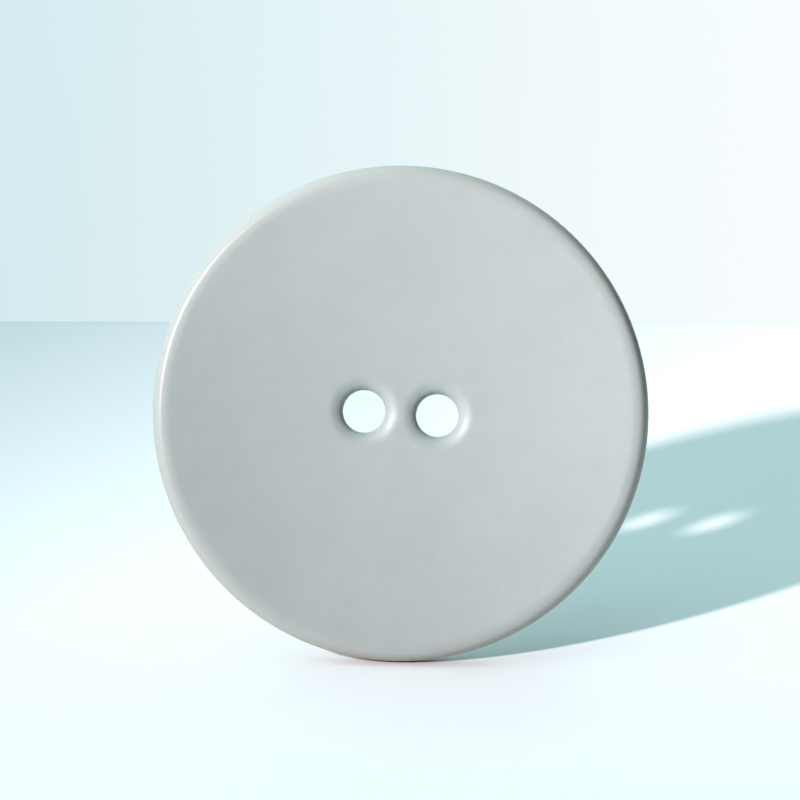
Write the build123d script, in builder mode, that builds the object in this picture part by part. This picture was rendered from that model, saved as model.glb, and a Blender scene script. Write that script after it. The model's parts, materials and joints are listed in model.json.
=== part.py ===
from build123d import *
import os
from math import cos, radians, sin, tan

# A flat sew-through coat button: one turned disc of plastic with a shallow dish on its front,
# a thin rolled rim, a gently domed back and two thread holes side by side.
#
# Millimetres, +Z up. The button stands on its edge with its front towards -Y and its axis along Y.
# The origin is the middle of the button, and the two holes lie along X on either side of it.

button_diameter = 28.0
thickness = 2.4  # from the crest of the rim to the flat seat on the back

dish_slope = 7.5  # degrees, where the dish meets the rim
rim_roll_radius = 1.8  # the gentle roll over the crest of the rim
crest_fall = 8.0  # degrees, how far the roll has turned down where the edge rounding begins
front_edge_radius = 0.46
edge_fall = 52.0  # degrees, how far the edge rounding has turned down where the fuller side begins
side_radius = 0.95

seat_diameter = 11.0  # the flat middle of the back
shoulder_slope = 13.0  # degrees, where the domed back meets the rounding of the rim
back_edge_radius = 0.65

hole_diameter = 2.4
hole_spacing = 4.15  # centre to centre
front_mouth_radius = 0.7  # rounding where a hole meets the dish
back_mouth_radius = 0.25

# The half section hangs straight down from the middle, clear of both holes. In it, X is the distance
# from the axis and Y is the depth from front to back.
section_plane = Plane((0, 0, 0), x_dir=(0, 0, -1), z_dir=(1, 0, 0))
button_radius = button_diameter / 2
front_y = -thickness / 2
back_y = thickness / 2
side_reach = side_radius * (1 - sin(radians(edge_fall)))
edge_reach = front_edge_radius * (sin(radians(edge_fall)) - sin(radians(crest_fall)))
crest_radius = button_radius - side_reach - edge_reach - rim_roll_radius * sin(radians(crest_fall))
dish_radius = crest_radius - rim_roll_radius * sin(radians(dish_slope))
dish_sphere_radius = dish_radius / sin(radians(dish_slope))
roll_height = rim_roll_radius * (1 - cos(radians(dish_slope)))
dish_depth = roll_height + dish_radius * tan(radians(dish_slope / 2))
dish_middle = (0, front_y + dish_depth)
shoulder_reach = button_radius - back_edge_radius * (1 - sin(radians(shoulder_slope))) - seat_diameter / 2
shoulder_radius = shoulder_reach / sin(radians(shoulder_slope))
shoulder_drop = shoulder_reach * tan(radians(shoulder_slope / 2))
side_end_y = back_y - shoulder_drop - back_edge_radius * cos(radians(shoulder_slope))

os.makedirs("parts", exist_ok=True)

with BuildPart() as button_body:
    # The disc is turned in one go, so every arc runs on from the last one at a tangent.
    with BuildSketch(section_plane) as half_section:
        with BuildLine() as outline:
            dish = JernArc(dish_middle, (1, 0), dish_sphere_radius, -dish_slope)
            rim_roll = JernArc(dish @ 1, dish % 1, rim_roll_radius, dish_slope + crest_fall)
            front_edge = JernArc(rim_roll @ 1, rim_roll % 1, front_edge_radius, edge_fall - crest_fall)
            full_side = JernArc(front_edge @ 1, front_edge % 1, side_radius, 90 - edge_fall)
            side = Line(full_side @ 1, (button_radius, side_end_y))
            back_edge = JernArc(side @ 1, side % 1, back_edge_radius, 90 - shoulder_slope)
            shoulder = JernArc(back_edge @ 1, back_edge % 1, shoulder_radius, shoulder_slope)
            Polyline(shoulder @ 1, (0, back_y), dish_middle)
        make_face()
    revolve(axis=Axis.Y)

    # Both thread holes are drilled from the back, then their mouths are rounded.
    with Locations(Plane((0, back_y, 0), x_dir=(1, 0, 0), z_dir=(0, 1, 0))):
        with GridLocations(hole_spacing, 0, 2, 1):
            Hole(hole_diameter / 2)
    hole_edges = button_body.edges(Select.LAST).sort_by(Axis.Y)
    fillet(hole_edges[:2], front_mouth_radius)
    fillet(hole_edges[-2:], back_mouth_radius)

button_body.part.label = "button_body"
export_step(button_body.part, "parts/button_body.step")
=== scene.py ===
import json
from math import atan2, copysign, cos, hypot, pi, radians, sin, sqrt

import bmesh
import bpy
from mathutils import Matrix, Vector


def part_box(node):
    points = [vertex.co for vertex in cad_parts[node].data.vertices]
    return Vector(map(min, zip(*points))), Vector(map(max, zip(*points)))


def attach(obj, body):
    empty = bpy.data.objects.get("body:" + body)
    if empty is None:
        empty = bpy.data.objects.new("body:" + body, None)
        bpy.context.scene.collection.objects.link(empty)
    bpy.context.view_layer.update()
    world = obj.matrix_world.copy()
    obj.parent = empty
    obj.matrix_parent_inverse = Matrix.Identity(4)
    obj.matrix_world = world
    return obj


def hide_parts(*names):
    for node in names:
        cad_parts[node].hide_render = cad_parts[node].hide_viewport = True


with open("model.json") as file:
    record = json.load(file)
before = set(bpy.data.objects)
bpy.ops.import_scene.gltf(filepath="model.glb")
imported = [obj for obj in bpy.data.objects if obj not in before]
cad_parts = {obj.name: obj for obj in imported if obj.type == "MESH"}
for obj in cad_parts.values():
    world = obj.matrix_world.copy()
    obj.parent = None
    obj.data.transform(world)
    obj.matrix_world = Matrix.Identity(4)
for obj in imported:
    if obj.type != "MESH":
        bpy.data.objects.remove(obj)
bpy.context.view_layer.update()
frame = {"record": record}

MM = 0.001

# ---------------------------------------------------------------------------------------------
# The button: one disc turned from solid-coloured polyester. The lathe leaves a shallow dish on
# the front, a rolled rim and a gently domed back, and two thread holes are drilled through.
# Tumbling with pumice softens every edge and leaves a satin skin, smoothest on the rim.
# ---------------------------------------------------------------------------------------------
low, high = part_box("button_body")
rim_radius = (high.z - low.z) / 2
front_y = low.y
back_y = high.y
thread_holes = [mount for mount in frame["record"]["mounts"] if mount["kind"] == "bore"]
hole_radius = thread_holes[0]["dims"]["r_mm"] * MM
hole_offset = max(mount["pos_m"][0] for mount in thread_holes)

dish_slope = radians(7.5)  # where the dish meets the rim
rim_roll_radius = 1.8 * MM
crest_fall = radians(8)  # how far the roll has turned down where the edge rounding begins
front_edge_radius = 0.46 * MM
edge_fall = radians(52)  # how far the edge rounding has turned down where the fuller side begins
side_radius = 0.95 * MM
back_edge_radius = 0.65 * MM
shoulder_slope = radians(13)  # where the domed back meets the rounding of the rim
seat_radius = 5.5 * MM  # the flat middle of the back
mouth_throat_radius = 0.6 * MM  # the tight rounding where a hole opens into the dish
throat_fall = radians(25)  # its slope where a slower roll carries on out
mouth_roll_radius = 1.2 * MM
back_mouth_radius = 0.25 * MM

side_reach = side_radius * (1 - sin(edge_fall))
edge_reach = front_edge_radius * (sin(edge_fall) - sin(crest_fall))
crest_radius = rim_radius - side_reach - edge_reach - rim_roll_radius * sin(crest_fall)
dish_radius = crest_radius - rim_roll_radius * sin(dish_slope)
dish_sphere_radius = dish_radius / sin(dish_slope)
dish_edge_y = front_y + rim_roll_radius * (1 - cos(dish_slope))
edge_centre_y = front_y + rim_roll_radius * (1 - cos(crest_fall)) + front_edge_radius * cos(crest_fall)
side_centre_y = edge_centre_y - front_edge_radius * cos(edge_fall) + side_radius * cos(edge_fall)
shoulder_reach = rim_radius - back_edge_radius * (1 - sin(shoulder_slope))
shoulder_radius = (shoulder_reach - seat_radius) / sin(shoulder_slope)
back_edge_y = back_y - shoulder_radius * (1 - cos(shoulder_slope)) - back_edge_radius * cos(shoulder_slope)
throat_reach = hole_radius + mouth_throat_radius * (1 - sin(throat_fall))
mouth_reach = throat_reach + mouth_roll_radius * sin(throat_fall)

mouth_segments = 112  # round each hole
rim_segments = 160  # round the whole disc
throat_steps = 12
mouth_roll_steps = 8
collar_steps = 5
dish_steps = 24
collar_width = 5.2 * MM  # half of an oval band of faces that holds both mouths
collar_height = 3.4 * MM


def hole_distance(co):
    """Distance from the axis of the nearer thread hole."""
    return hypot(abs(co.x) - hole_offset, co.z)


def round_hole(radius, y=0.0):
    """A move to a circle about the nearer hole's axis."""
    def move(co):
        centre = Vector((copysign(hole_offset, co.x), y, 0))
        away = Vector((co.x - centre.x, 0, co.z))
        return centre + away.normalized() * radius
    return move


def round_button(radius, y=0.0):
    """A move to a circle about the button's own axis."""
    def move(co):
        return Vector((co.x, 0, co.z)).normalized() * radius + Vector((0, y, 0))
    return move


def mouth_to_collar(co):
    """Where the right-hand mouth meets the collar: round the oval, and back down the button's middle line."""
    half_turns = atan2(co.z, co.x - hole_offset) / pi
    oval_share = rim_segments / 2 / mouth_segments
    if abs(half_turns) > oval_share:
        height = collar_height * (1 - abs(half_turns)) / (1 - oval_share)
        return Vector((0, 0, copysign(height, half_turns)))
    angle = half_turns / oval_share * pi / 2
    reach = collar_width * collar_height / hypot(collar_height * cos(angle), collar_width * sin(angle))
    return Vector((cos(angle), 0, sin(angle))) * reach


def front_surface_y(co):
    """Depth of the front there: the dish, rolled and then rounded down into the nearer hole."""
    dish_rise = sqrt(dish_sphere_radius**2 - co.x**2 - co.z**2)
    dish_rise -= sqrt(dish_sphere_radius**2 - dish_radius**2)
    distance = hole_distance(co)
    in_roll = min(mouth_reach - throat_reach, max(0, mouth_reach - distance))
    sunk = mouth_roll_radius - sqrt(mouth_roll_radius**2 - in_roll**2)
    if distance < throat_reach:
        in_throat = min(mouth_throat_radius, hole_radius + mouth_throat_radius - distance)
        sunk += mouth_throat_radius * cos(throat_fall) - sqrt(mouth_throat_radius**2 - in_throat**2)
    return dish_edge_y + dish_rise + sunk


def back_surface_y(radius):
    """Depth of the back at that distance from the button's axis: the flat seat, then the dome."""
    past_seat = max(0, radius - seat_radius)
    return back_y - shoulder_radius + sqrt(shoulder_radius**2 - past_seat**2)


def spread(bm, edges, move, steps=1):
    """Draws a row of edges out into a band of faces, its far side put by move, in even steps."""
    drawn = bmesh.ops.extrude_edge_only(bm, edges=edges)["geom"]
    far_verts = [part for part in drawn if isinstance(part, bmesh.types.BMVert)]
    far_edges = [part for part in drawn if isinstance(part, bmesh.types.BMEdge)]
    faces = [part for part in drawn if isinstance(part, bmesh.types.BMFace)]
    for vert in far_verts:
        vert.co = move(vert.co)
    if steps > 1:
        kept = set(edges) | set(far_edges)
        across = {edge for face in faces for edge in face.edges} - kept
        bmesh.ops.subdivide_edges(bm, edges=list(across), cuts=steps - 1, use_grid_fill=True)
    return far_edges


def arc(radius, centre_radius, centre_y, start, end, steps):
    """Rings (distance from the axis, depth) along a rounding, its angle counted from the front."""
    angles = [start + (end - start) * step / steps for step in range(1, steps + 1)]
    return [(centre_radius + radius * sin(angle), centre_y - radius * cos(angle)) for angle in angles]


# The right half of the front is laid out flat first: rings round the mouth, then the collar.
bm = bmesh.new()
upright = Matrix.Translation((hole_offset, 0, 0)) @ Matrix.Rotation(pi / 2, 4, "X")
bmesh.ops.create_circle(bm, radius=hole_radius, segments=mouth_segments, matrix=upright)
ring = bm.edges[:]
for step in range(1, throat_steps + 1):
    slope = pi / 2 - (pi / 2 - throat_fall) * step / throat_steps
    ring = spread(bm, ring, round_hole(hole_radius + mouth_throat_radius * (1 - sin(slope))))
for step in range(1, mouth_roll_steps + 1):
    slope = throat_fall * (1 - step / mouth_roll_steps)
    ring = spread(bm, ring, round_hole(mouth_reach - mouth_roll_radius * sin(slope)))
spread(bm, ring, mouth_to_collar, collar_steps)

# Mirrored, the two halves meet on the middle line, and the dish runs out from the whole oval.
everything = bm.verts[:] + bm.edges[:] + bm.faces[:]
bmesh.ops.mirror(bm, geom=everything, matrix=Matrix.Identity(4), merge_dist=0.001 * MM, axis="X")
bmesh.ops.remove_doubles(bm, verts=bm.verts[:], dist=0.001 * MM)
oval = [edge for edge in bm.edges if edge.is_boundary and hole_distance(edge.verts[0].co) > mouth_reach]
spread(bm, oval, round_button(dish_radius), dish_steps)

# A copy is the domed back, with its own smaller mouths. The first sheet sinks into the dish.
front_sheet = bm.verts[:] + bm.edges[:] + bm.faces[:]
back_sheet = bmesh.ops.duplicate(bm, geom=front_sheet)["geom"]
for part in back_sheet:
    if isinstance(part, bmesh.types.BMVert):
        distance = hole_distance(part.co)
        if distance < mouth_reach:
            past_wall = (distance - hole_radius) / (mouth_reach - hole_radius)
            flat_width = mouth_reach - hole_radius - back_mouth_radius
            part.co = round_hole(hole_radius + back_mouth_radius + past_wall * flat_width)(part.co)
        part.co.y = back_surface_y(hypot(part.co.x, part.co.z))
for part in front_sheet:
    if isinstance(part, bmesh.types.BMVert):
        part.co.y = front_surface_y(part.co)

# The rim is drawn round from the dish to the back, and the hole walls straight through.
open_edges = [edge for edge in front_sheet if isinstance(edge, bmesh.types.BMEdge) and edge.is_boundary]
hole_ring = [edge for edge in open_edges if hole_distance(edge.verts[0].co) < mouth_reach]
rim_ring = [edge for edge in open_edges if edge not in hole_ring]
rings = arc(rim_roll_radius, crest_radius, front_y + rim_roll_radius, -dish_slope, crest_fall, 12)
edge_centre_radius = crest_radius + (rim_roll_radius - front_edge_radius) * sin(crest_fall)
rings += arc(front_edge_radius, edge_centre_radius, edge_centre_y, crest_fall, edge_fall, 12)
rings += arc(side_radius, rim_radius - side_radius, side_centre_y, edge_fall, pi / 2, 10)
rings += [(rim_radius, back_edge_y)]
rings += arc(back_edge_radius, rim_radius - back_edge_radius, back_edge_y, pi / 2, pi - shoulder_slope, 16)
for share in (0.5, 1):
    radius = shoulder_reach + (dish_radius - shoulder_reach) * share
    rings += [(radius, back_surface_y(radius))]
for radius, y in rings:
    rim_ring = spread(bm, rim_ring, round_button(radius, y))
wall_end_y = back_y - back_mouth_radius
hole_ring = spread(bm, hole_ring, round_hole(hole_radius, wall_end_y), 6)
for radius, y in arc(back_mouth_radius, hole_radius + back_mouth_radius, wall_end_y, -pi / 2, -pi, 8):
    hole_ring = spread(bm, hole_ring, round_hole(radius, y))
bmesh.ops.remove_doubles(bm, verts=bm.verts[:], dist=0.0005 * MM)
bmesh.ops.recalc_face_normals(bm, faces=bm.faces[:])
for face in bm.faces:
    face.smooth = True

button_mesh = bpy.data.meshes.new("turned_button")
bm.to_mesh(button_mesh)
bm.free()
button = bpy.data.objects.new("turned_button", button_mesh)
bpy.context.scene.collection.objects.link(button)


def node_maker(tree):
    """A maker of nodes in that tree, which sets each one up and sets or links its inputs."""
    def add(kind, inputs=None, **settings):
        node = tree.nodes.new(kind)
        for key, value in settings.items():
            setattr(node, key, value)
        for key, value in (inputs or {}).items():
            if isinstance(value, bpy.types.NodeSocket):
                tree.links.new(value, node.inputs[key])
            else:
                node.inputs[key].default_value = value
        return node
    return add


def make_material(name):
    """A new material with its shader, a maker of nodes for it and a linker of them."""
    material = bpy.data.materials.new(name)
    material.use_nodes = True
    tree = material.node_tree
    return material, tree.nodes["Principled BSDF"], node_maker(tree), tree.links.new


def blend(add, factor, start, end):
    """The colour that goes from start to end as the factor goes from nothing to one."""
    inputs = {"Factor": factor, "A": start, "B": end}
    return add("ShaderNodeMix", inputs, data_type="RGBA").outputs["Result"]


grey = (0.455, 0.503, 0.488, 1)
deep_grey = (0.43, 0.476, 0.463, 1)
rim_tan = (0.45, 0.466, 0.435, 1)
dust_white = (0.7, 0.71, 0.71, 1)
tan_start = crest_radius - 0.1 * MM  # how far from the axis the rim's own tint and polish begin
patch_gloss = (0.41, 0.47)  # roughness of the most and the least rubbed patches
rim_gloss = 0.34

polyester, skin, add, link = make_material("satin_polyester")
place = add("ShaderNodeTexCoord").outputs["Object"]
place_mm = add("ShaderNodeMapping", {"Vector": place, "Scale": (1 / MM, 1 / MM, 1 / MM)}).outputs["Vector"]

# The pigment never stirs in quite evenly: broad soft clouds, and a finer mottle over them.
cloud = add("ShaderNodeTexNoise", {"Vector": place_mm, "Scale": 0.16, "Detail": 3.0, "Roughness": 0.55})
mottle = add("ShaderNodeTexNoise", {"Vector": place_mm, "Scale": 1.1, "Detail": 5.0, "Roughness": 0.62})
clouding = add("ShaderNodeMix", {"Factor": 0.4, "A": cloud.outputs["Fac"], "B": mottle.outputs["Fac"]})
pigment = add("ShaderNodeMapRange", {"Value": clouding.outputs["Result"], "From Min": 0.32, "From Max": 0.68})
base = blend(add, pigment.outputs["Result"], deep_grey, grey)

# The thin rim lets a little light through and looks tanner, and is polished smoother.
flattened = add("ShaderNodeVectorMath", {0: place_mm, 1: (1, 0, 1)}, operation="MULTIPLY")
from_axis = add("ShaderNodeVectorMath", {0: flattened.outputs["Vector"]}, operation="LENGTH")
reach = {"Value": from_axis.outputs["Value"], "From Min": tan_start / MM, "From Max": rim_radius / MM}
on_rim = add("ShaderNodeMapRange", reach, interpolation_type="SMOOTHSTEP").outputs["Result"]
tanned = blend(add, on_rim, base, rim_tan)

# A few specks of pale dust cling to the satin.
specks = add("ShaderNodeTexVoronoi", {"Vector": place_mm, "Scale": 0.62, "Randomness": 1.0})
speck_edge = {"Value": specks.outputs["Distance"], "From Min": 0.022, "From Max": 0.04}
speck_size = add("ShaderNodeMapRange", {**speck_edge, "To Min": 1.0, "To Max": 0.0}).outputs["Result"]
pick = add("ShaderNodeSeparateColor", {"Color": specks.outputs["Color"]})
chosen = add("ShaderNodeMath", {0: pick.outputs["Red"], 1: 0.55}, operation="GREATER_THAN").outputs["Value"]
speck = add("ShaderNodeMath", {0: speck_size, 1: chosen}, operation="MULTIPLY").outputs["Value"]
faint = add("ShaderNodeMath", {0: speck, 1: 0.6}, operation="MULTIPLY").outputs["Value"]
link(blend(add, faint, tanned, dust_white), skin.inputs["Base Color"])

# Tumbling leaves a fine even grain, a slow waviness, and rubs some patches glossier than others.
grain = add("ShaderNodeTexNoise", {"Vector": place_mm, "Scale": 9.0, "Detail": 6.0, "Roughness": 0.7})
wave = add("ShaderNodeTexNoise", {"Vector": place_mm, "Scale": 0.45, "Detail": 2.0, "Roughness": 0.5})
patches = {"Value": mottle.outputs["Fac"], "From Min": 0.3, "From Max": 0.7}
rubbed = add("ShaderNodeMapRange", {**patches, "To Min": patch_gloss[0], "To Max": patch_gloss[1]})
polished = add("ShaderNodeMix", {"Factor": on_rim, "A": rubbed.outputs["Result"], "B": rim_gloss})
grit = add("ShaderNodeMath", {0: grain.outputs["Fac"], 1: 0.05}, operation="MULTIPLY").outputs["Value"]
gloss = add("ShaderNodeMath", {0: polished.outputs["Result"], 1: grit}, operation="ADD")
link(gloss.outputs["Value"], skin.inputs["Roughness"])
bumps = ((wave.outputs["Fac"], 0.5, 0.02), (grain.outputs["Fac"], 0.35, 0.0035), (speck, 0.5, 0.02))
surface = skin.inputs["Normal"]
for height, strength, rise in reversed(bumps):
    bump = add("ShaderNodeBump", {"Height": height, "Strength": strength, "Distance": rise * MM})
    link(bump.outputs["Normal"], surface)
    surface = bump.inputs["Normal"]
skin.inputs["IOR"].default_value = 1.56
skin.inputs["Subsurface Weight"].default_value = 0.12
skin.inputs["Subsurface Radius"].default_value = (1.0, 0.75, 0.6)
skin.inputs["Subsurface Scale"].default_value = 0.35 * MM
button_mesh.materials.append(polyester)
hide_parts("button_body")
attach(button, "root")

# ---------------------------------------------------------------------------------------------
# The stage: a sheet of matt white paper on a sloping board, with painted shade that turns it darker and
# pale blue toward its far left, where the lamp's light falls off. The button stands on its edge on it,
# rolled round until its two holes are not quite level.
# The far edge of the sheet curls down.
# ---------------------------------------------------------------------------------------------
roll = Matrix.Rotation(radians(-3.3), 4, "Y")
sheet_slope = radians(20.2)
sheet_lean = radians(1.1)
sheet_turn = radians(3)  # in its own plane, so that its far edge runs level
sheet_reach = 700 * MM  # to either side and in front
sheet_end = 51.5 * MM  # behind the button
curl_radius = 5 * MM
curl_turn = radians(80)
paper_white = (0.91, 0.885, 0.89, 1)
painted_shade_blue = (0.53, 0.58, 0.61, 1)

# The rim's back rounding is what touches the slope.
rest_height = (rim_radius - back_edge_radius) * cos(sheet_slope)
rest_height += back_edge_y * sin(sheet_slope) + back_edge_radius
bm = bmesh.new()
corners = [bm.verts.new((side * sheet_reach, -sheet_reach, -rest_height)) for side in (-1, 1)]
row = [bm.edges.new(corners)]
row = spread(bm, row, lambda co: Vector((co.x, sheet_end, co.z)))
centre = (0, sheet_end, -rest_height - curl_radius)
bmesh.ops.spin(bm, geom=row, cent=centre, axis=(1, 0, 0), angle=-curl_turn, steps=24)
bmesh.ops.recalc_face_normals(bm, faces=bm.faces[:])
tilt = roll @ Matrix.Rotation(sheet_lean, 4, "Y") @ Matrix.Rotation(sheet_slope, 4, "X")
tilt = tilt @ Matrix.Rotation(sheet_turn, 4, "Z")
bmesh.ops.transform(bm, matrix=tilt, verts=bm.verts[:])
for face in bm.faces:
    face.smooth = True
paper_mesh = bpy.data.meshes.new("paper_sheet")
bm.to_mesh(paper_mesh)
bm.free()
paper = bpy.data.objects.new("paper_sheet", paper_mesh)
bpy.context.scene.collection.objects.link(paper)
paper_with_painted_shade, paper_skin, add, link = make_material("paper_with_painted_shade")
on_sheet = add("ShaderNodeTexCoord").outputs["Object"]
# Painted shade: the paper turns darker and bluer toward its far left, standing in for the lamp's light
# falling off there.
painted_shade_reach = add("ShaderNodeVectorMath", {0: on_sheet, 1: (-1 / MM, 1 / MM, 0)}, operation="DOT_PRODUCT")
painted_shade_fade = add("ShaderNodeMapRange", {"Value": painted_shade_reach.outputs["Value"], "From Min": 25.0, "From Max": 100.0})
paper_and_painted_shade = blend(add, painted_shade_fade.outputs["Result"], paper_white, painted_shade_blue)
link(paper_and_painted_shade, paper_skin.inputs["Base Color"])
paper_skin.inputs["Roughness"].default_value = 0.8
paper_skin.inputs["Specular IOR Level"].default_value = 0.2
paper_mesh.materials.append(paper_with_painted_shade)

# ---------------------------------------------------------------------------------------------
# The light: one small open lamp low on the left, and close beside it a snooted one whose soft
# narrow beam passes over the button, so it brightens the upper right most. A cool pale ceiling
# fills the shadows, and the right of the room is dark.
# ---------------------------------------------------------------------------------------------
lamp_off_axis = radians(40.9)  # away from straight in front of the button
lamp_round = radians(158.6)  # round that axis from the right, by way of the top
lamp_distance = 1000 * MM
lamp_radius = 27 * MM
lamp_colour = (1.0, 0.86, 0.9)
open_reach = 700 * MM  # how far from the button the open lamp's light fades out
beam_centre = Vector((13.6, 2.5, 42.8)) * MM
beam_radius = 80 * MM  # where the snooted lamp's light has faded out

toward_lamp = Vector((cos(lamp_round), 0, sin(lamp_round))) * sin(lamp_off_axis)
toward_lamp.y = -cos(lamp_off_axis)
toward_lamp.rotate(roll)
beam_centre.rotate(roll)


def hang_lamp(name, aim, reach, energy):
    """A small round lamp on the left, aimed at a point, its light fading out that far from it."""
    data = bpy.data.lights.new(name, "SPOT")
    data.shadow_soft_size = lamp_radius
    data.spot_size = 2 * atan2(reach, lamp_distance)
    data.spot_blend = 1.0
    data.energy = energy
    data.color = lamp_colour
    lamp = bpy.data.objects.new(name, data)
    lamp.location = toward_lamp * lamp_distance
    lamp.rotation_mode = "QUATERNION"
    lamp.rotation_quaternion = (lamp.location - aim).to_track_quat("Z", "Y")
    bpy.context.scene.collection.objects.link(lamp)


hang_lamp("open_lamp", Vector((0, 0, 0)), open_reach, 28.0)
hang_lamp("snooted_lamp", beam_centre, beam_radius, 31.0)

room = bpy.data.worlds.new("pale_room")
room.use_nodes = True
add = node_maker(room.node_tree)
looking = add("ShaderNodeTexCoord").outputs["Generated"]


def toward(direction, start, end):
    """How far a look into the room turns that way: nothing at start, everything at end."""
    facing = add("ShaderNodeVectorMath", {0: looking, 1: direction}, operation="DOT_PRODUCT")
    inputs = {"Value": facing.outputs["Value"], "From Min": start, "From Max": end}
    return add("ShaderNodeMapRange", inputs, interpolation_type="SMOOTHSTEP").outputs["Result"]


dim_front = (0.22, 0.25, 0.26, 1)
dark_right = (0.01, 0.02, 0.035, 1)
cool_ceiling = (0.95, 1.36, 1.36, 1)
backdrop_left = (0.71, 0.85, 0.88, 1)
backdrop_right = (0.95, 0.985, 0.995, 1)

backdrop = blend(add, toward((1, 0, 0), -0.09, 0.06), backdrop_left, backdrop_right)
walls = blend(add, toward((0, 1, 0), 0.2, 0.9), dim_front, backdrop)
walls = blend(add, toward((0.97, -0.2, -0.1), 0.1, 0.8), walls, dark_right)
room_light = blend(add, toward((-0.45, 0.2, 0.87), 0.2, 0.9), walls, cool_ceiling)
room.node_tree.links.new(room_light, room.node_tree.nodes["Background"].inputs["Color"])
bpy.context.scene.world = room
bpy.context.scene.view_settings.view_transform = "Standard"
bpy.context.scene.view_settings.gamma = 0.74  # deepens the middle tones

# ---------------------------------------------------------------------------------------------
# The camera: square on to the button's face and level with its axis, so that the rim shows as a
# circle. It is turned with the sheet, and its long lens keeps the sides of the button hidden.
# ---------------------------------------------------------------------------------------------
camera_data = bpy.data.cameras.new("camera")
camera_data.lens = 320
camera_data.sensor_width = 36
camera_data.shift_x = -0.0009
camera_data.shift_y = 0.0168
camera_data.clip_start = 10 * MM
camera_data.clip_end = 10
face_share = 0.619  # how much of the frame's width the button takes up
frame_width = 2 * rim_radius / face_share
camera_distance = frame_width * camera_data.lens / camera_data.sensor_width
camera = bpy.data.objects.new("camera", camera_data)
camera.location = (0, -camera_distance, 0)
camera.rotation_mode = "QUATERNION"
camera.rotation_quaternion = (roll @ Matrix.Rotation(pi / 2, 4, "X")).to_quaternion()
bpy.context.scene.collection.objects.link(camera)
bpy.context.scene.camera = camera
